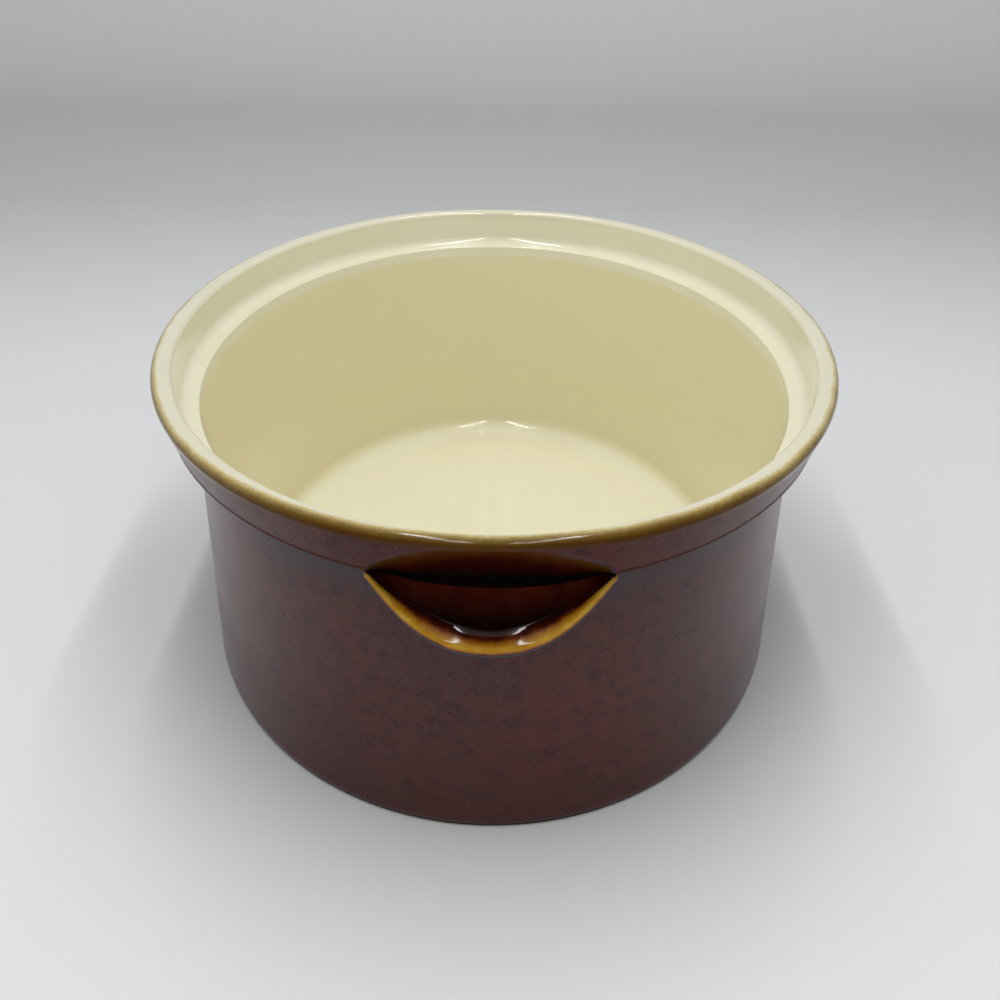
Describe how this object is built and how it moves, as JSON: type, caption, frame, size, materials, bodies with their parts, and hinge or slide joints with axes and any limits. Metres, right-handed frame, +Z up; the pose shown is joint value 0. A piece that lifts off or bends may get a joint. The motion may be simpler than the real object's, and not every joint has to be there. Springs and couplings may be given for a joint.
{
  "type": "oval casserole dish",
  "caption": "Deep oval stoneware casserole dish with an upright wall, a flared rim collar with an inner ledge for a lid, and a mouth-shaped pocket handle at each end.",
  "frame": {"origin": "on the table under the middle of the oval", "axes": "+Z up, +Y along the oval's long axis with a pocket handle at each end, +X across the dish"},
  "size_m": [0.212, 0.282, 0.0952],
  "materials": {
    "brown_glaze": "glossy iron-brown glaze on stoneware, breaking to amber on edges",
    "cream_glaze": "glossy cream glaze on stoneware",
    "bare_stoneware": "bare fired stoneware"
  },
  "bodies": {
    "root": {"foot_ring": "bare_stoneware", "floor_slab": "cream_glaze", "side_wall": "brown_glaze", "rim_collar": "brown_glaze", "front_pocket_handle": "brown_glaze", "back_pocket_handle": "brown_glaze"}
  },
  "joints": []
}
